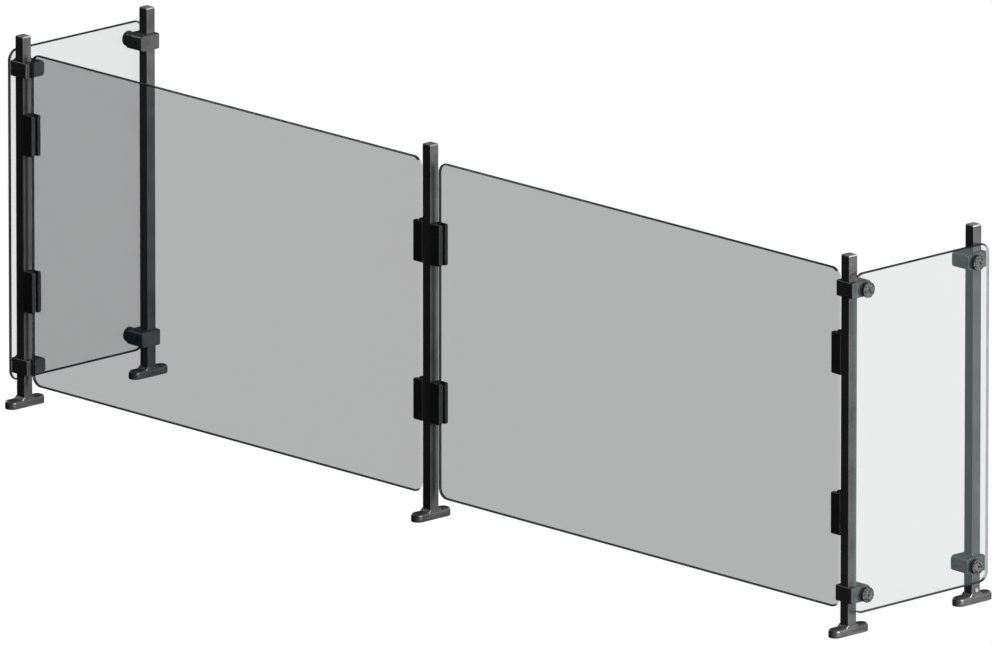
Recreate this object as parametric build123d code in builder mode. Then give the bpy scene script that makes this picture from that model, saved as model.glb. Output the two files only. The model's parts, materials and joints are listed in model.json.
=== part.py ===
from build123d import *
import os

# Countertop sneeze guard: two smoked glass panels between three front posts, and a clear glass
# panel at each end, clamped to a front and a rear post. Millimetres.
# X runs along the front row, Y from the customer's side to the service side, Z up.
# The origin is on the counter, in the middle of the footprint.

# Layout
SPAN = 1052.0  # between the centres of neighbouring front posts
DEPTH = 300.0  # between the centres of a front and a rear post
HEIGHT = 680.0  # counter to the top of the post caps
SCREW_PLAY = 0.05  # on the radius of every screw in its hole

# Posts: square aluminium tube
POST = 20.0
POST_WALL = 1.5
POST_CORNER = 1.0
CAP_PLATE = 2.5
CAP_CORNER = 2.0
CAP_EDGE_RADIUS = 1.6
CAP_PLUG_LENGTH = 12.0
CAP_PLUG_WALL = 1.8
PLUG_PLAY = 0.1  # on each side, between a plug and the inside of the tube
PLUG_CORNER = 1.0
PLUG_LEAD = 1.0  # chamfer that guides a foot's spigot into its tube

# Feet: cast bars that run front to back, on rubber
FOOT_LENGTH = 86.0
FOOT_WIDTH = 25.0
FOOT_PAD_HEIGHT = 4.5
FOOT_PAD_CHAMFER = 0.6
FOOT_TOP = 15.0
FOOT_EDGE_RADIUS = 5.0
COLLAR_TOP = 18.5
COLLAR_SINK = 3.0  # how far the collar starts below the top of the foot
COLLAR_LOW = (23.8, 43.0, 8.0)  # width, length and corner radius
COLLAR_HIGH = (23.2, 24.0, 3.0)
SPIGOT_LENGTH = 30.0
FOOT_SCREW_HEIGHT = 24.0
FOOT_SCREW_RADIUS = 2.0
FOOT_SCREW_LENGTH = 9.0
FOOT_SCREW_HEAD = (3.6, 2.4)  # radius and height
FOOT_SCREW_SOCKET = (1.5, 1.5)  # radius across the corners, and depth

# Glass
GLASS = 6.0
ARRIS = 0.5  # ground bevel along every glass edge
PANEL_HEIGHT = 610.0
PANEL_BOTTOM = 41.0
PANEL_CORNER = 20.0
FRONT_GAP = 22.0  # post centre to the edge of a front panel
SIDE_OVERHANG = 12.5  # side panel past the post centres
SIDE_FACE = 22.3  # post centre to the inner face of a side panel

# Clips that hold the front panels
CLIP_REACH = 23.5
CLIP_WIDTH = 22.0
CLIP_HEIGHT = 75.0
CLIP_HEIGHTS = {"lower": 213.5, "upper": 501.0}
CLIP_EDGE = 1.5
CLIP_END_RADIUS = 3.0  # on the top and bottom edges of a clip's outer end
CLIP_SLOT_DEPTH = 12.0
LINER = 1.0
LINER_FLOOR = 0.5
LINER_SHORTER = 3.0  # at each end
CLIP_SCREW_RADIUS = 2.0
CLIP_SCREW_HEAD_RADIUS = 4.0
CLIP_SCREW_SOCKET = (1.45, 1.6)
JAW_SCREW_OUT = 6.0  # from the post's face
JAW_SCREW_SPREAD = 46.0
JAW_SCREW_LENGTH = 17.0
JAW_HOLE_DEPTH = 11.0  # in the clip's body
POST_SCREW_SPREAD = 20.0
POST_SCREW_LENGTH = 19.0
NUT_BAR = (12.0, 3.0, 36.0)  # width, thickness and length

# Clamps that hold the side panels, in each panel's four corners
CLAMP_INSET = 32.0  # clamp centre from the top or bottom edge of the glass
CLAMP_HEIGHT = 28.0
CLAMP_INNER = 20.0  # post centre to the clamp's inner face
CLAMP_BEHIND = 12.5
CLAMP_AHEAD = 33.0
CLAMP_END_RADIUS = 7.0  # on the top and bottom edges of the arm's end
CLAMP_CORNER = 2.5
CLAMP_EDGE = 0.8
BORE_PLAY = 0.05
PAD = 1.5
PAD_RADIUS = 13.0
PAD_HOLE_RADIUS = 5.0
KNOB_AHEAD = 16.8  # post centre to the knob's axis, towards the panel's middle
GLASS_HOLE_RADIUS = 5.2
INSERT_RADIUS = 4.5
INSERT_BORE_RADIUS = 3.05
INSERT_LENGTH = 14.0
GRUB_RADIUS = 2.5
GRUB_LENGTH = 16.0
GRUB_SOCKET = (1.45, 2.5)
GRUB_TIP_PLAY = 0.1
GRUB_OFFSET = 6.0  # from the post's centre, away from the glass

# Knobs: knurled head and threaded stud in one piece, with a shoulder washer
KNOB_RADIUS = 14.0
KNOB_RIM = 3.8
KNOB_RIM_CHAMFER = 0.7
KNOB_CAP_RADIUS = 10.8
KNOB_CAP = 1.0
KNOB_CAP_CHAMFER = 0.5
KNOB_SOCKET = (2.3, 3.0)
KNURLS = 30
KNURL_RADIUS = 0.8
STUD_RADIUS = 3.0
STUD_LENGTH = 20.5
WASHER = 1.0
WASHER_RADIUS = 12.0
WASHER_BORE_RADIUS = 3.3
SHOULDER_RADIUS = 4.9
SHOULDER_LENGTH = 4.0

# Worked out from the above
FRONT = -DEPTH / 2
POST_TOP = HEIGHT - CAP_PLATE
TUBE_INSIDE = POST - 2 * POST_WALL
PLUG = TUBE_INSIDE - 2 * PLUG_PLAY
PANEL_MIDDLE = PANEL_BOTTOM + PANEL_HEIGHT / 2
FRONT_WIDTH = SPAN - 2 * FRONT_GAP
SIDE_WIDTH = DEPTH + 2 * SIDE_OVERHANG
SIDE_OUTSIDE = SIDE_FACE + GLASS
CLAMP_FACE = SIDE_FACE - PAD
CLAMP_HEIGHTS = {
    "lower": PANEL_BOTTOM + CLAMP_INSET,
    "upper": PANEL_BOTTOM + PANEL_HEIGHT - CLAMP_INSET,
}
CLIP_FRONT = POST / 2 + CLIP_REACH
SLOT_FLOOR = CLIP_FRONT - CLIP_SLOT_DEPTH
SLOT_HALF = GLASS / 2 + LINER
LINER_HEIGHT = CLIP_HEIGHT - 2 * LINER_SHORTER

POSTS = {
    "front_left": (-SPAN, FRONT),
    "front_centre": (0.0, FRONT),
    "front_right": (SPAN, FRONT),
    "rear_left": (-SPAN, -FRONT),
    "rear_right": (SPAN, -FRONT),
}
SIDES = {"left": -1, "right": 1}
ROWS = {"front": 1, "rear": -1}  # the Y direction from each row to the panel's middle
CLIP_SIDES = (  # post, the side of it that the clip is on, and a name for the clip
    ("front_left", 1, "front_left"),
    ("front_centre", -1, "centre_left"),
    ("front_centre", 1, "centre_right"),
    ("front_right", -1, "front_right"),
)
INTO = (Align.CENTER, Align.CENTER, Align.MAX)  # a shank that goes into the face it starts from
OUT = (Align.CENTER, Align.CENTER, Align.MIN)

os.makedirs("parts", exist_ok=True)


def finish(piece, name):
    """Labels a finished piece and writes it under its own name."""
    piece.part.label = name
    export_step(piece.part, f"parts/{name}.step")


def facing(direction, point):
    """The plane through a point that looks along a direction."""
    return Plane(origin=point, z_dir=direction)


def clip_plane(post, side, height):
    """The plane across a clip: local x goes out of the post's face, local y to the service side."""
    x, y = POSTS[post]
    return Plane(origin=(x, y, height), x_dir=(side, 0, 0), z_dir=(0, 0, side))


def corner_plane(side, row, height):
    """The plane across a corner clamp: local x goes out to the glass, local y to its middle."""
    x, y = SIDES[side] * SPAN, -ROWS[row] * DEPTH / 2
    turn = SIDES[side]
    return Plane(origin=(x, y, height), x_dir=(turn, 0, 0), z_dir=(0, 0, turn * ROWS[row]))


def stud_plane(side, row, height, out):
    """The plane that faces outwards on a knob's axis, a distance out from the post's centre."""
    across = corner_plane(side, row, height)
    point = across.from_local_coords(Vector(out, KNOB_AHEAD, 0))
    return facing((SIDES[side], 0, 0), point)


def side_studs(side, out):
    """The stud planes of all four corners of one side panel."""
    return [stud_plane(side, row, z, out) for row in ROWS for z in CLAMP_HEIGHTS.values()]


def outermost(shapes, axis, way):
    """The shapes that lie furthest along an axis, forwards or backwards."""
    return shapes.group_by(axis)[-1 if way > 0 else 0]


def outer_end_edges(clips):
    """The edges along Y at the end of each clip that is away from its post."""
    def from_post(edge):
        x = edge.center().X
        return round(abs(x - SPAN * round(x / SPAN)), 3)
    return clips.edges().filter_by(Axis.Y).filter_by(lambda edge: from_post(edge) == CLIP_FRONT)


def slab(x_low, x_high, y_low, y_high, mode=Mode.ADD):
    """Adds the rectangle between two corners to the open sketch."""
    with Locations(((x_low + x_high) / 2, (y_low + y_high) / 2)):
        Rectangle(x_high - x_low, y_high - y_low, mode=mode)


def clip_screw_points():
    """Every post screw, as its post's x and y, its height and the side of the post it enters."""
    for post, side, _ in CLIP_SIDES:
        x, y = POSTS[post]
        for height in CLIP_HEIGHTS.values():
            for shift in (-POST_SCREW_SPREAD / 2, POST_SCREW_SPREAD / 2):
                yield x, y, height + shift, side


def all_clips():
    """The plane across each of the eight clips."""
    return [clip_plane(post, side, z) for post, side, _ in CLIP_SIDES for z in CLIP_HEIGHTS.values()]


def jaw_screw_planes():
    """The outer ends of the jaw screws, on the service face of each jaw."""
    planes = []
    for across in all_clips():
        point = across.from_local_coords(Vector(POST / 2 + JAW_SCREW_OUT, CLIP_WIDTH / 2, 0))
        for shift in (-JAW_SCREW_SPREAD / 2, JAW_SCREW_SPREAD / 2):
            planes.append(facing((0, 1, 0), point + Vector(0, 0, shift)))
    return planes


def foot_screw_plane(post):
    """Front feet are pinned from the service side, rear feet from the end of the guard."""
    x, y = POSTS[post]
    half = POST / 2
    if post.startswith("front"):
        return facing((0, 1, 0), (x, y + half, FOOT_SCREW_HEIGHT))
    turn = 1 if x > 0 else -1
    return facing((turn, 0, 0), (x + turn * half, y, FOOT_SCREW_HEIGHT))


# Posts
for post_name, (x, y) in POSTS.items():
    with BuildPart() as post:
        with BuildSketch(Plane((x, y, FOOT_TOP))):
            RectangleRounded(POST, POST, POST_CORNER)
            Rectangle(TUBE_INSIDE, TUBE_INSIDE, mode=Mode.SUBTRACT)
        extrude(amount=POST_TOP - FOOT_TOP)
        for px, py, pz, side in clip_screw_points():
            if (px, py) == (x, y):
                with Locations(facing((side, 0, 0), (x + side * POST / 2, y, pz))):
                    Hole(CLIP_SCREW_RADIUS, depth=2 * POST_WALL)
        with Locations(foot_screw_plane(post_name)):
            Hole(FOOT_SCREW_RADIUS, depth=2 * POST_WALL)
    finish(post, f"post_{post_name}")

# Caps, pushed into the tops of the tubes
with BuildPart() as caps:
    cap_tops = [Plane((x, y, POST_TOP)) for x, y in POSTS.values()]
    with BuildSketch(*cap_tops):
        RectangleRounded(POST, POST, CAP_CORNER)
    extrude(amount=CAP_PLATE)
    fillet(caps.faces().group_by(Axis.Z)[-1].edges(), CAP_EDGE_RADIUS)
    with BuildSketch(*cap_tops):
        RectangleRounded(PLUG, PLUG, PLUG_CORNER)
        Rectangle(PLUG - 2 * CAP_PLUG_WALL, PLUG - 2 * CAP_PLUG_WALL, mode=Mode.SUBTRACT)
    extrude(amount=-CAP_PLUG_LENGTH)
finish(caps, "post_caps")

# Feet
for post_name, (x, y) in POSTS.items():
    with BuildPart() as foot:
        with BuildSketch(Plane((x, y, FOOT_PAD_HEIGHT))):
            SlotOverall(FOOT_LENGTH, FOOT_WIDTH, rotation=90)
        extrude(amount=FOOT_TOP - FOOT_PAD_HEIGHT)
        fillet(foot.faces().sort_by(Axis.Z)[-1].edges(), FOOT_EDGE_RADIUS)
        with BuildSketch(Plane((x, y, FOOT_TOP - COLLAR_SINK))):
            RectangleRounded(*COLLAR_LOW)
        with BuildSketch(Plane((x, y, COLLAR_TOP))):
            RectangleRounded(*COLLAR_HIGH)
        loft()
        with BuildSketch(Plane((x, y, FOOT_TOP))):
            RectangleRounded(POST, POST, POST_CORNER)
        extrude(amount=COLLAR_TOP - FOOT_TOP, mode=Mode.SUBTRACT)
        with BuildSketch(Plane((x, y, FOOT_TOP))):
            RectangleRounded(PLUG, PLUG, PLUG_CORNER)
        extrude(amount=SPIGOT_LENGTH)
        chamfer(foot.faces().sort_by(Axis.Z)[-1].edges(), PLUG_LEAD)
        with Locations(foot_screw_plane(post_name)):
            Hole(FOOT_SCREW_RADIUS, depth=FOOT_SCREW_LENGTH)
    finish(foot, f"foot_{post_name}")

with BuildPart() as foot_pads:
    with BuildSketch(*[Plane((x, y, 0)) for x, y in POSTS.values()]):
        SlotOverall(FOOT_LENGTH, FOOT_WIDTH, rotation=90)
    extrude(amount=FOOT_PAD_HEIGHT)
    chamfer(foot_pads.faces().group_by(Axis.Z)[0].edges(), FOOT_PAD_CHAMFER)
finish(foot_pads, "foot_pads")

with BuildPart() as foot_screws:
    foot_screw_planes = [foot_screw_plane(name) for name in POSTS]
    with Locations(*foot_screw_planes):
        Cylinder(FOOT_SCREW_RADIUS - SCREW_PLAY, FOOT_SCREW_LENGTH, align=INTO)
        Cylinder(FOOT_SCREW_HEAD[0], FOOT_SCREW_HEAD[1], align=OUT)
    with BuildSketch(*[plane.offset(FOOT_SCREW_HEAD[1]) for plane in foot_screw_planes]):
        RegularPolygon(FOOT_SCREW_SOCKET[0], 6)
    extrude(amount=-FOOT_SCREW_SOCKET[1], mode=Mode.SUBTRACT)
finish(foot_screws, "foot_set_screws")

# Front panels
for side_name, side in SIDES.items():
    middle = (side * SPAN / 2, FRONT, PANEL_MIDDLE)
    with BuildPart() as panel:
        with BuildSketch(Plane(origin=middle, x_dir=(1, 0, 0), z_dir=(0, -1, 0))):
            RectangleRounded(FRONT_WIDTH, PANEL_HEIGHT, PANEL_CORNER)
        extrude(amount=GLASS / 2, both=True)
        chamfer(panel.faces().filter_by(Axis.Y).edges(), ARRIS)
    finish(panel, f"front_panel_{side_name}")

# Clips: a body screwed to the post, and a jaw that closes on the glass from the service side
for post_name, side, clip_name in CLIP_SIDES:
    for level, height in CLIP_HEIGHTS.items():
        across = clip_plane(post_name, side, height)
        with BuildPart() as clip:
            with BuildSketch(across):
                slab(POST / 2, CLIP_FRONT, -CLIP_WIDTH / 2, SLOT_HALF)
            extrude(amount=CLIP_HEIGHT / 2, both=True)
            fillet(outer_end_edges(clip), CLIP_END_RADIUS)
            fillet(clip.edges().filter_by(Axis.Z).group_by(Axis.Y)[0], CLIP_EDGE)
            with BuildSketch(across):
                slab(SLOT_FLOOR, CLIP_FRONT, -SLOT_HALF, SLOT_HALF)
            extrude(amount=CLIP_HEIGHT / 2, both=True, mode=Mode.SUBTRACT)
            slot_floor = across.from_local_coords(Vector(SLOT_FLOOR, 0, 0))
            jaw_seat = across.from_local_coords(Vector(POST / 2 + JAW_SCREW_OUT, SLOT_HALF, 0))
            for shift in (-POST_SCREW_SPREAD / 2, POST_SCREW_SPREAD / 2):
                with Locations(facing((side, 0, 0), slot_floor + Vector(0, 0, shift))):
                    CounterSinkHole(CLIP_SCREW_RADIUS, CLIP_SCREW_HEAD_RADIUS,
                                    depth=SLOT_FLOOR, counter_sink_angle=90)
            for shift in (-JAW_SCREW_SPREAD / 2, JAW_SCREW_SPREAD / 2):
                with Locations(facing((0, 1, 0), jaw_seat + Vector(0, 0, shift))):
                    Hole(CLIP_SCREW_RADIUS, depth=JAW_HOLE_DEPTH)
        finish(clip, f"clip_{clip_name}_{level}")

with BuildPart() as jaws:
    with BuildSketch(*all_clips()):
        slab(POST / 2, CLIP_FRONT, SLOT_HALF, CLIP_WIDTH / 2)
    extrude(amount=CLIP_HEIGHT / 2, both=True)
    fillet(outer_end_edges(jaws), CLIP_END_RADIUS)
    fillet(jaws.edges().filter_by(Axis.Z).group_by(Axis.Y)[-1], CLIP_EDGE)
    with Locations(*jaw_screw_planes()):
        CounterSinkHole(CLIP_SCREW_RADIUS, CLIP_SCREW_HEAD_RADIUS,
                        depth=CLIP_WIDTH, counter_sink_angle=90)
finish(jaws, "clip_jaws")

with BuildPart() as liners:
    with BuildSketch(*all_clips()):
        slab(SLOT_FLOOR, CLIP_FRONT, -SLOT_HALF, SLOT_HALF)
        slab(SLOT_FLOOR + LINER_FLOOR, CLIP_FRONT, -GLASS / 2, GLASS / 2, mode=Mode.SUBTRACT)
    extrude(amount=LINER_HEIGHT / 2, both=True)
finish(liners, "clip_liners")


def countersunk_screws(planes, length):
    """A flat-headed socket screw at each plane, its head level with the plane."""
    radius = CLIP_SCREW_RADIUS - SCREW_PLAY
    head_radius = CLIP_SCREW_HEAD_RADIUS - SCREW_PLAY
    with BuildPart() as screws:
        with Locations(*planes):
            Cylinder(radius, length, align=INTO)
            Cone(radius, head_radius, head_radius - radius, align=INTO)
        with BuildSketch(*planes):
            RegularPolygon(CLIP_SCREW_SOCKET[0], 6)
        extrude(amount=-CLIP_SCREW_SOCKET[1], mode=Mode.SUBTRACT)
    return screws


finish(countersunk_screws(jaw_screw_planes(), JAW_SCREW_LENGTH), "clip_jaw_screws")
post_screw_planes = [
    facing((side, 0, 0), (x + side * SLOT_FLOOR, y, z)) for x, y, z, side in clip_screw_points()
]
finish(countersunk_screws(post_screw_planes, POST_SCREW_LENGTH), "clip_post_screws")

# Threaded bars inside the tubes, behind the wall that each clip is screwed to
bar_faces = []
for across in all_clips():
    inside = across.from_local_coords(Vector(TUBE_INSIDE / 2, 0, 0))
    bar_faces.append(Plane(origin=inside, x_dir=(0, 1, 0), z_dir=across.x_dir))
with BuildPart() as nut_bars:
    with BuildSketch(*bar_faces):
        Rectangle(NUT_BAR[0], NUT_BAR[2])
        with GridLocations(0, POST_SCREW_SPREAD, 1, 2):
            Circle(CLIP_SCREW_RADIUS, mode=Mode.SUBTRACT)
    extrude(amount=-NUT_BAR[1])
finish(nut_bars, "clip_nut_bars")

# Side panels, their clamps and what is in the clamps
for side_name, side in SIDES.items():
    inner_face = Plane(
        origin=(side * (SPAN + SIDE_FACE), 0, PANEL_MIDDLE), x_dir=(0, 1, 0), z_dir=(side, 0, 0)
    )
    with BuildPart() as panel:
        with BuildSketch(inner_face):
            RectangleRounded(SIDE_WIDTH, PANEL_HEIGHT, PANEL_CORNER)
        extrude(amount=GLASS)
        chamfer(panel.faces().filter_by(Axis.X).edges(), ARRIS)
        with Locations(*side_studs(side_name, SIDE_OUTSIDE)):
            Hole(GLASS_HOLE_RADIUS, depth=GLASS)
    finish(panel, f"side_panel_{side_name}")

    grub_planes = []
    for row in ROWS:
        for level, height in CLAMP_HEIGHTS.items():
            across = corner_plane(side_name, row, height)
            arm_end = across.from_local_coords(Vector(-GRUB_OFFSET, CLAMP_AHEAD, 0))
            grub_tip = across.from_local_coords(Vector(-GRUB_OFFSET, POST / 2 + GRUB_TIP_PLAY, 0))
            grub_planes.append(facing((0, ROWS[row], 0), grub_tip))
            with BuildPart() as clamp:
                with BuildSketch(across):
                    slab(-CLAMP_INNER, CLAMP_FACE, -CLAMP_BEHIND, CLAMP_AHEAD)
                extrude(amount=CLAMP_HEIGHT / 2, both=True)
                arm_edges = clamp.edges().filter_by(Axis.X)
                fillet(outermost(arm_edges, Axis.Y, ROWS[row]), CLAMP_END_RADIUS)
                corners = clamp.edges().filter_by(Axis.Z)
                fillet(outermost(corners, Axis.Y, -ROWS[row]), CLAMP_CORNER)
                chamfer(clamp.faces().filter_by(Axis.X).edges(), CLAMP_EDGE)
                with BuildSketch(across):
                    RectangleRounded(
                        POST + 2 * BORE_PLAY, POST + 2 * BORE_PLAY, POST_CORNER + BORE_PLAY
                    )
                extrude(amount=CLAMP_HEIGHT / 2, both=True, mode=Mode.SUBTRACT)
                with Locations(stud_plane(side_name, row, height, CLAMP_FACE)):
                    Hole(INSERT_RADIUS, depth=INSERT_LENGTH)
                with Locations(facing((0, ROWS[row], 0), arm_end)):
                    Hole(GRUB_RADIUS, depth=CLAMP_AHEAD - POST / 2)
            finish(clamp, f"clamp_{row}_{side_name}_{level}")

    with BuildPart() as inserts:
        with Locations(*side_studs(side_name, CLAMP_FACE)):
            Cylinder(INSERT_RADIUS, INSERT_LENGTH, align=INTO)
            Hole(INSERT_BORE_RADIUS, depth=INSERT_LENGTH)
    finish(inserts, f"clamp_inserts_{side_name}")

    with BuildPart() as pads:
        with BuildSketch(*side_studs(side_name, CLAMP_FACE)):
            Circle(PAD_RADIUS)
            Circle(PAD_HOLE_RADIUS, mode=Mode.SUBTRACT)
        extrude(amount=PAD)
    finish(pads, f"clamp_pads_{side_name}")

    with BuildPart() as grubs:
        with Locations(*grub_planes):
            Cylinder(GRUB_RADIUS - SCREW_PLAY, GRUB_LENGTH, align=OUT)
        with BuildSketch(*[plane.offset(GRUB_LENGTH) for plane in grub_planes]):
            RegularPolygon(GRUB_SOCKET[0], 6)
        extrude(amount=-GRUB_SOCKET[1], mode=Mode.SUBTRACT)
    finish(grubs, f"clamp_grub_screws_{side_name}")

# Knobs and their shoulder washers
for side_name, side in SIDES.items():
    for row in ROWS:
        for level, height in CLAMP_HEIGHTS.items():
            glass_face = stud_plane(side_name, row, height, SIDE_OUTSIDE)
            with BuildPart() as washer:
                with BuildSketch(glass_face):
                    Circle(WASHER_RADIUS)
                extrude(amount=WASHER)
                with BuildSketch(glass_face):
                    Circle(SHOULDER_RADIUS)
                extrude(amount=-SHOULDER_LENGTH)
                with Locations(glass_face.offset(WASHER)):
                    Hole(WASHER_BORE_RADIUS, depth=WASHER + SHOULDER_LENGTH)
            finish(washer, f"knob_washer_{row}_{side_name}_{level}")

            seat = glass_face.offset(WASHER)
            cap_end = seat.offset(KNOB_RIM + KNOB_CAP)
            with BuildPart() as knob:
                with BuildSketch(seat):
                    Circle(KNOB_RADIUS)
                extrude(amount=KNOB_RIM)
                chamfer(outermost(knob.faces(), Axis.X, side).edges(), KNOB_RIM_CHAMFER)
                with BuildSketch(seat):
                    with PolarLocations(KNOB_RADIUS, KNURLS):
                        Circle(KNURL_RADIUS)
                extrude(amount=KNOB_RIM, mode=Mode.SUBTRACT)
                with BuildSketch(seat.offset(KNOB_RIM)):
                    Circle(KNOB_CAP_RADIUS)
                extrude(amount=KNOB_CAP)
                chamfer(outermost(knob.faces(), Axis.X, side).edges(), KNOB_CAP_CHAMFER)
                with BuildSketch(seat):
                    Circle(STUD_RADIUS)
                extrude(amount=-STUD_LENGTH)
                with BuildSketch(cap_end):
                    RegularPolygon(KNOB_SOCKET[0], 6)
                extrude(amount=-KNOB_SOCKET[1], mode=Mode.SUBTRACT)
            finish(knob, f"knob_{row}_{side_name}_{level}")
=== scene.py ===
import json
import math

import bpy
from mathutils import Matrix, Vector


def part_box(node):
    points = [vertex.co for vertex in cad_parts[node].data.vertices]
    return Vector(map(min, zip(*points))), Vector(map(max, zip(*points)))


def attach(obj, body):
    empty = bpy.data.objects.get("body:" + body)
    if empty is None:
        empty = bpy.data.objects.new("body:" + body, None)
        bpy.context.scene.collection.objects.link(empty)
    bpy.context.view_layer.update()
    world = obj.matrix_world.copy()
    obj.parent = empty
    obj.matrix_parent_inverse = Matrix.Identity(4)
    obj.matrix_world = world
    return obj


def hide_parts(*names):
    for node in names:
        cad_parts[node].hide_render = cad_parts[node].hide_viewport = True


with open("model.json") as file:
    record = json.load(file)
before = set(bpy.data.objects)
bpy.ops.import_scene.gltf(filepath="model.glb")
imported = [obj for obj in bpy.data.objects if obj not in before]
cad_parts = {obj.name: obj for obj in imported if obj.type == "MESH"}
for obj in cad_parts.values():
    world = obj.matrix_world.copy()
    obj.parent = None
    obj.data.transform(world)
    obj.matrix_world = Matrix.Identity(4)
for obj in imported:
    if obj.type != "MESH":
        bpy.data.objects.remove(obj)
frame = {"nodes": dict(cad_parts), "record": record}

nodes = frame["nodes"]
scene = bpy.context.scene
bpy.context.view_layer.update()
scene.view_settings.view_transform = "Standard"


# ---------------------------------------------------------------- camera

AZIMUTH = math.radians(46.46)
ELEVATION = math.radians(14.88)
LENS = 1100.0  # in mm: a long lens from far away, so that parallel lines stay parallel
SENSOR = 36.0
VIEW_WIDTH = 1.743  # what the picture spans at the middle of the guard
AIM_HEIGHT = 0.330
AIM_RIGHT = 0.0060
AIM_DOWN = 0.0031


def make_camera():
    back = Vector((
        math.sin(AZIMUTH) * math.cos(ELEVATION),
        -math.cos(AZIMUTH) * math.cos(ELEVATION),
        math.sin(ELEVATION),
    ))
    right = Vector((math.cos(AZIMUTH), math.sin(AZIMUTH), 0))
    up = back.cross(right)
    data = bpy.data.cameras.new("camera")
    data.lens = LENS
    data.sensor_width = SENSOR
    distance = VIEW_WIDTH * LENS / SENSOR
    data.clip_end = 2 * distance
    camera = bpy.data.objects.new("camera", data)
    scene.collection.objects.link(camera)
    target = Vector((0, 0, AIM_HEIGHT)) + right * AIM_RIGHT - up * AIM_DOWN
    camera.location = target + back * distance
    camera.rotation_mode = "QUATERNION"
    camera.rotation_quaternion = (-back).to_track_quat("-Z", "Y")
    scene.camera = camera


make_camera()


# ---------------------------------------------------------------- node helpers

EDGE_SAMPLES = 4


class Shader:
    """A new material, with short ways to add and join its nodes."""

    def __init__(self, name):
        self.material = bpy.data.materials.new(name)
        self.material.use_nodes = True
        self.tree = self.material.node_tree
        self.main = self.tree.nodes["Principled BSDF"]
        self.place = self.add("ShaderNodeTexCoord").outputs["Object"]

    def add(self, kind, **values):
        node = self.tree.nodes.new(kind)
        for key, value in values.items():
            if hasattr(node, key):
                setattr(node, key, value)
            else:
                node.inputs[key.replace("_", " ")].default_value = value
        return node

    def join(self, source, target):
        self.tree.links.new(source, target)

    def set(self, **values):
        for key, value in values.items():
            self.main.inputs[key.replace("_", " ")].default_value = value

    def noise(self, scale, detail=2.0, stretch=(1, 1, 1)):
        """Noise in the object's own metres; stretch squeezes it along an axis."""
        spread = self.add("ShaderNodeMapping")
        spread.inputs["Scale"].default_value = stretch
        self.join(self.place, spread.inputs["Vector"])
        texture = self.add("ShaderNodeTexNoise", Scale=scale, Detail=detail)
        self.join(spread.outputs[0], texture.inputs["Vector"])
        return texture.outputs["Fac"]

    def ramp(self, factor, low, high, start=0.35, end=0.65):
        """A colour or a grey that goes from low to high as factor goes from start to end."""
        node = self.add("ShaderNodeValToRGB")
        stops = node.color_ramp.elements
        for stop, place, value in ((stops[0], start, low), (stops[1], end, high)):
            stop.position = place
            stop.color = (*value, 1) if isinstance(value, tuple) else (value, value, value, 1)
        self.join(factor, node.inputs[0])
        return node.outputs[0]

    def mix(self, factor, a, b):
        node = self.add("ShaderNodeMix", data_type="RGBA")
        self.join(factor, node.inputs[0])
        self.join(a, node.inputs[6])
        self.join(b, node.inputs[7])
        return node.outputs[2]

    def bump(self, height, strength, distance):
        node = self.add("ShaderNodeBump", Strength=strength, Distance=distance)
        self.join(height, node.inputs["Height"])
        self.join(node.outputs[0], self.main.inputs["Normal"])

    def worn_edges(self, radius):
        """1 on sharp edges and 0 on flat faces."""
        rounded = self.add("ShaderNodeBevel", samples=EDGE_SAMPLES, Radius=radius)
        plain = self.add("ShaderNodeNewGeometry")
        dot = self.add("ShaderNodeVectorMath", operation="DOT_PRODUCT")
        self.join(rounded.outputs[0], dot.inputs[0])
        self.join(plain.outputs["Normal"], dot.inputs[1])
        return self.ramp(dot.outputs["Value"], 1.0, 0.0, 0.80, 0.97)


# ---------------------------------------------------------------- materials

COAT_BLACK = (0.0104, 0.0104, 0.0108)


def powder_coat():
    """Satin black powder coat: fine orange peel, a little dust and rubbed edges."""
    m = Shader("powder_coat")
    black = m.ramp(m.noise(9.0, 3.0), COAT_BLACK, 0.018)
    rubbed = m.ramp(m.noise(60.0, 4.0), COAT_BLACK, 0.045, 0.45, 0.75)
    m.join(m.mix(m.worn_edges(0.0006), black, rubbed), m.main.inputs["Base Color"])
    m.join(m.ramp(m.noise(25.0, 4.0), 0.34, 0.48), m.main.inputs["Roughness"])
    m.bump(m.noise(900.0, 2.0), 0.25, 0.0002)
    m.set(Specular_IOR_Level=0.4)
    return m.material


def moulded_plastic(name, dark, light, rough=(0.42, 0.58), specular=0.35):
    """Moulded plastic with a fine spark-eroded grain."""
    m = Shader(name)
    m.join(m.ramp(m.noise(30.0, 3.0), dark, light), m.main.inputs["Base Color"])
    m.join(m.ramp(m.noise(120.0, 2.0), *rough), m.main.inputs["Roughness"])
    m.bump(m.noise(2200.0, 1.0), 0.30, 0.00012)
    m.set(Specular_IOR_Level=specular)
    return m.material


def rubber():
    """Dull black rubber."""
    m = Shader("rubber")
    m.join(m.ramp(m.noise(40.0, 4.0), 0.008, (0.020, 0.019, 0.018)), m.main.inputs["Base Color"])
    m.join(m.ramp(m.noise(200.0, 2.0), 0.70, 0.88), m.main.inputs["Roughness"])
    m.bump(m.noise(1500.0, 2.0), 0.35, 0.00015)
    m.set(Specular_IOR_Level=0.25)
    return m.material


def metal(name, dark, light, rough, stretch=(1, 1, 1)):
    """Bare metal with fine turning or drawing marks."""
    m = Shader(name)
    marks = m.noise(1200.0, 3.0, stretch)
    m.join(m.ramp(marks, dark, light), m.main.inputs["Base Color"])
    m.join(m.ramp(m.noise(90.0, 3.0), rough, rough + 0.12), m.main.inputs["Roughness"])
    m.bump(marks, 0.15, 0.00005)
    m.set(Metallic=1.0)
    return m.material


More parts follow.
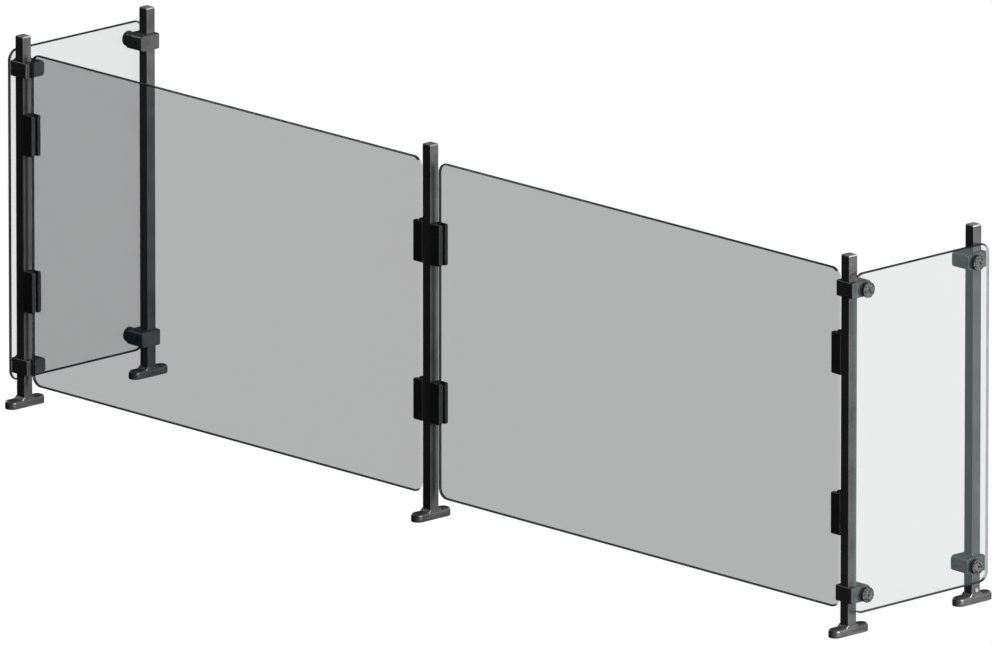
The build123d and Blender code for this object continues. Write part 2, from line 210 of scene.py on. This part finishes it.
def knob_paint():
    """Dark hammered paint, worn lighter on the knurls."""
    m = Shader("knob_metal")
    hammered = m.ramp(m.noise(330.0, 3.0), 0.002, 0.034, 0.40, 0.58)
    worn = m.ramp(m.noise(350.0, 3.0), 0.01, 0.07)
    m.join(m.mix(m.worn_edges(0.0004), hammered, worn), m.main.inputs["Base Color"])
    m.join(m.ramp(m.noise(160.0, 3.0), 0.32, 0.50), m.main.inputs["Roughness"])
    m.bump(m.noise(700.0, 2.0), 0.40, 0.0004)
    m.set(Specular_IOR_Level=0.2)
    return m.material


def pane(name, dark, light, alpha, index, rough):
    """One face of a sheet of tinted glass, with faint wiping marks in its gloss."""
    m = Shader(name)
    m.join(m.ramp(m.noise(3.0, 3.0), dark, light, 0.3, 0.7), m.main.inputs["Base Color"])
    wiped = m.noise(14.0, 5.0, (1, 1, 0.35))
    m.join(m.ramp(wiped, *rough, 0.4, 0.75), m.main.inputs["Roughness"])
    m.set(Alpha=alpha, IOR=index)
    return m.material


def ground_edge(name, dark, light, alpha):
    """The ground and polished rim of a sheet of glass."""
    m = Shader(name)
    m.join(m.ramp(m.noise(70.0, 3.0), dark, light), m.main.inputs["Base Color"])
    m.join(m.ramp(m.noise(400.0, 3.0), 0.14, 0.34), m.main.inputs["Roughness"])
    m.bump(m.noise(700.0, 2.0), 0.10, 0.0001)
    m.set(Alpha=alpha, IOR=GLASS_INDEX, Specular_IOR_Level=0.12)
    return m.material


STEEL = metal("screw_steel", 0.42, (0.66, 0.66, 0.65), 0.24)
BRASS = metal("insert_brass", (0.55, 0.40, 0.16), (0.78, 0.60, 0.30), 0.22)
RUBBER = rubber()

# A ray goes in through one face of a sheet and out through another, so each face hides about
# half as much as the sheet does. Alpha fades the gloss too, and the high index of the clear
# glass makes up for that.
GLASS_INDEX = 1.5
STRONG_INDEX = 3.0
SMOKED = pane("smoked_glass", (0.002, 0.024, 0.036), (0.006, 0.036, 0.052),
              alpha=0.337, index=GLASS_INDEX, rough=(0.06, 0.14))
CLEAR = pane("clear_glass", (0.026, 0.038, 0.039), (0.041, 0.054, 0.055),
             alpha=0.130, index=STRONG_INDEX, rough=(0.05, 0.16))

# Painted light on the rims: rims that face along +X or +Y, towards the lamps, and the front rim
# of the right-hand panel get lighter, more see-through copies of the rim finish, which stand in
# for the light they catch, so they show what is behind them. The others show their own dark
# inside.
RIM_LIGHT = (0.007, 0.009, 0.009)
# Colours of the painted-light rim copies, lighter than the plain dark rim.
PAINTED_LIGHT_RIM_DARK = (0.02, 0.04, 0.04)
PAINTED_LIGHT_RIM_PALE = (0.06, 0.09, 0.09)
SMOKED_RIM = ground_edge("smoked_glass_rim", 0.002, RIM_LIGHT, alpha=0.96)
SMOKED_RIM_PAINTED_LIGHT = ground_edge("smoked_glass_rim_painted_light", PAINTED_LIGHT_RIM_DARK, (0.05, 0.08, 0.08), alpha=0.30)
CLEAR_RIM = ground_edge("clear_glass_rim", 0.002, RIM_LIGHT, alpha=0.97)
CLEAR_RIM_PAINTED_LIGHT = ground_edge("clear_glass_rim_painted_light", PAINTED_LIGHT_RIM_DARK, PAINTED_LIGHT_RIM_PALE, alpha=0.60)
CLEAR_RIM_PAINTED_LIGHT_FADED = ground_edge("clear_glass_rim_painted_light_faded", PAINTED_LIGHT_RIM_DARK, PAINTED_LIGHT_RIM_PALE, alpha=0.10)

FINISHES = {
    "powder_coat": powder_coat(),
    "cap_plastic": moulded_plastic("cap_plastic", 0.06, 0.13),
    "foot_rubber": RUBBER,
    "liner_rubber": RUBBER,
    "clip_plastic": moulded_plastic("clip_plastic", 0.003, 0.007, specular=0.25),
    "screw_steel": STEEL,
    "insert_brass": BRASS,
    "knob_metal": knob_paint(),
    "washer_nylon": moulded_plastic("washer_nylon", 0.02, 0.04, rough=(0.30, 0.40)),
}


def finish_cad_nodes():
    """Gives every kept CAD node the finish of its material slot."""
    for part in frame["record"]["subparts"]:
        node = nodes[part["node"]]
        finish = FINISHES.get(part["material_slot"])
        if finish:
            node.data.materials.clear()
            node.data.materials.append(finish)


finish_cad_nodes()


# ---------------------------------------------------------------- glass panels

CORNER = 0.020
CORNER_STEPS = 12
ROUND = 0.0026  # the polished rounding along each edge of the glass
ROUND_STEPS = 4
HOLE_RADIUS = 0.0052
HOLE_STEPS = 32
FLAT = 0.999  # the least part of a face's normal that is across the sheet


def rounded_outline(width, height):
    """Points of a rounded rectangle about the origin."""
    points = []
    for quarter, (sx, sy) in enumerate(((1, 1), (-1, 1), (-1, -1), (1, -1))):
        centre = (sx * (width / 2 - CORNER), sy * (height / 2 - CORNER))
        for step in range(CORNER_STEPS + 1):
            angle = math.pi / 2 * (quarter + step / CORNER_STEPS)
            points.append((centre[0] + CORNER * math.cos(angle),
                           centre[1] + CORNER * math.sin(angle)))
    return points


def circle(x, y, radius):
    return [(x + radius * math.cos(a), y + radius * math.sin(a))
            for a in (2 * math.pi * i / HOLE_STEPS for i in range(HOLE_STEPS))]


def glass_panel(node, body, finishes, across, holes=()):
    """A sheet with rounded rims, built over a CAD panel's box.

    across is the axis along its width. finishes are for its faces, its top and bottom rims, and
    its rims at the positive and the negative end of across. holes are the places on it where the
    knobs' studs go through.
    """
    low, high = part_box(node)
    middle = (low + high) / 2
    size = high - low
    normal = 1 - across
    curve = bpy.data.curves.new(node + "_glass", "CURVE")
    curve.dimensions = "2D"
    curve.fill_mode = "BOTH"
    curve.extrude = size[normal] / 2 - ROUND
    curve.bevel_depth = ROUND
    curve.bevel_resolution = ROUND_STEPS
    curve.offset = -ROUND
    outlines = [rounded_outline(size[across], size.z)]
    outlines += [circle(x - middle[across], z - middle.z, HOLE_RADIUS) for x, z in holes]
    for outline in outlines:
        spline = curve.splines.new("POLY")
        spline.points.add(len(outline) - 1)
        for point, (x, y) in zip(spline.points, outline):
            point.co = (x, y, 0, 1)
        spline.use_cyclic_u = True
    drawn = bpy.data.objects.new(node + "_drawing", curve)
    scene.collection.objects.link(drawn)
    settled = drawn.evaluated_get(bpy.context.evaluated_depsgraph_get())
    mesh = bpy.data.meshes.new_from_object(settled)
    bpy.data.objects.remove(drawn)
    mesh.materials.clear()
    for finish in finishes:
        mesh.materials.append(finish)
    for polygon in mesh.polygons:
        out = polygon.normal
        if abs(out.z) > FLAT:
            polygon.material_index = 0
            continue
        polygon.material_index = 1 if abs(out.x) <= abs(out.y) else 2 if out.x > 0 else 3
        polygon.use_smooth = True
    for vertex in mesh.vertices:
        x, y, z = vertex.co
        place = Vector((0, 0, y))
        place[across] = x
        place[normal] = z
        vertex.co = middle + place
    if across == 0:  # swapping y and z turned the mesh inside out
        mesh.flip_normals()
    piece = bpy.data.objects.new(node + "_glass", mesh)
    scene.collection.objects.link(piece)
    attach(piece, body)
    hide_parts(node)


def panels():
    for side in ("left", "right"):
        # The rim at the +X end gets the painted-light copy of the rim finish.
        glass_panel(f"front_panel_{side}", "frame",
                    (SMOKED, SMOKED_RIM, SMOKED_RIM_PAINTED_LIGHT, SMOKED_RIM), across=0)
        holes = []
        for row in ("front", "rear"):
            for level in ("lower", "upper"):
                low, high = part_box(f"knob_{row}_{side}_{level}")
                holes.append(((low.y + high.y) / 2, (low.z + high.z) / 2))
        # The +Y rims get the painted-light copy; the right panel's front rim gets a nearly clear
        # painted-light copy.
        front_rim = CLEAR_RIM if side == "left" else CLEAR_RIM_PAINTED_LIGHT_FADED
        glass_panel(f"side_panel_{side}", f"{side}_side",
                    (CLEAR, CLEAR_RIM, CLEAR_RIM_PAINTED_LIGHT, front_rim), across=1, holes=holes)


panels()


# ---------------------------------------------------------------- floor and light

FLOOR_SIZE = 60.0
FLOOR_GREY = (0.05, 0.05, 0.05, 1)  # what the floor sends back of the light that falls on it
CARD_START = 0.95  # a bright card lies on the floor from this x on, seen only in gloss
CARD_FULL = 1.25
CARD_GLOW = 0.50
WORLD_GREY = (0.06, 0.06, 0.06, 1)
WHITE = (1, 1, 1, 1)


def seen_and_unseen(tree, output, seen, unseen):
    """Shows one shader to the eye and lights the object with another."""
    path = tree.nodes.new("ShaderNodeLightPath")
    mix = tree.nodes.new("ShaderNodeMixShader")
    tree.links.new(path.outputs["Is Camera Ray"], mix.inputs[0])
    tree.links.new(unseen.outputs[0], mix.inputs[1])
    tree.links.new(seen.outputs[0], mix.inputs[2])
    tree.links.new(mix.outputs[0], output.inputs["Surface"])


def floor_paint():
    """Plain white to the eye; a dim floor with one bright card for the light."""
    paint = bpy.data.materials.new("floor_paint")
    paint.use_nodes = True
    tree = paint.node_tree
    tree.nodes.clear()
    output = tree.nodes.new("ShaderNodeOutputMaterial")
    white = tree.nodes.new("ShaderNodeEmission")
    white.inputs["Color"].default_value = WHITE
    place = tree.nodes.new("ShaderNodeTexCoord")
    split = tree.nodes.new("ShaderNodeSeparateXYZ")
    tree.links.new(place.outputs["Object"], split.inputs[0])
    ramp = tree.nodes.new("ShaderNodeMapRange")
    ramp.inputs["From Min"].default_value = CARD_START
    ramp.inputs["From Max"].default_value = CARD_FULL
    ramp.inputs["To Max"].default_value = CARD_GLOW
    tree.links.new(split.outputs["X"], ramp.inputs["Value"])
    card = tree.nodes.new("ShaderNodeEmission")
    tree.links.new(ramp.outputs[0], card.inputs["Strength"])
    matt = tree.nodes.new("ShaderNodeBsdfDiffuse")
    matt.inputs["Color"].default_value = FLOOR_GREY
    both = tree.nodes.new("ShaderNodeAddShader")
    tree.links.new(card.outputs[0], both.inputs[0])
    tree.links.new(matt.outputs[0], both.inputs[1])
    seen_and_unseen(tree, output, white, both)
    return paint


def make_floor():
    half = FLOOR_SIZE / 2
    mesh = bpy.data.meshes.new("floor")
    corners = [(-half, -half, 0), (half, -half, 0), (half, half, 0), (-half, half, 0)]
    mesh.from_pydata(corners, [], [(0, 1, 2, 3)])
    mesh.materials.append(floor_paint())
    floor = bpy.data.objects.new("floor", mesh)
    scene.collection.objects.link(floor)


def make_world():
    world = bpy.data.worlds.new("studio")
    scene.world = world
    world.use_nodes = True
    tree = world.node_tree
    tree.nodes.clear()
    output = tree.nodes.new("ShaderNodeOutputWorld")
    white = tree.nodes.new("ShaderNodeBackground")
    white.inputs["Color"].default_value = WHITE
    dim = tree.nodes.new("ShaderNodeBackground")
    dim.inputs["Color"].default_value = WORLD_GREY
    seen_and_unseen(tree, output, white, dim)


def softbox(name, place, size, power):
    """A square area light that faces the middle of the guard and isn't seen itself."""
    data = bpy.data.lights.new(name, "AREA")
    data.size = size
    data.energy = power
    light = bpy.data.objects.new(name, data)
    scene.collection.objects.link(light)
    light.visible_camera = False
    light.location = place
    aim = Vector((0, 0, AIM_HEIGHT)) - light.location
    light.rotation_mode = "QUATERNION"
    light.rotation_quaternion = aim.to_track_quat("-Z", "Y")


make_floor()
make_world()
softbox("key", (13.0, 1.2, 3.0), size=6.0, power=9500.0)
softbox("rear", (0.0, 8.0, 3.0), size=3.5, power=300.0)
softbox("glint", (-3.6, -1.4, 3.8), size=0.9, power=60.0)
softbox("left", (-8.0, 1.2, 2.0), size=3.5, power=300.0)
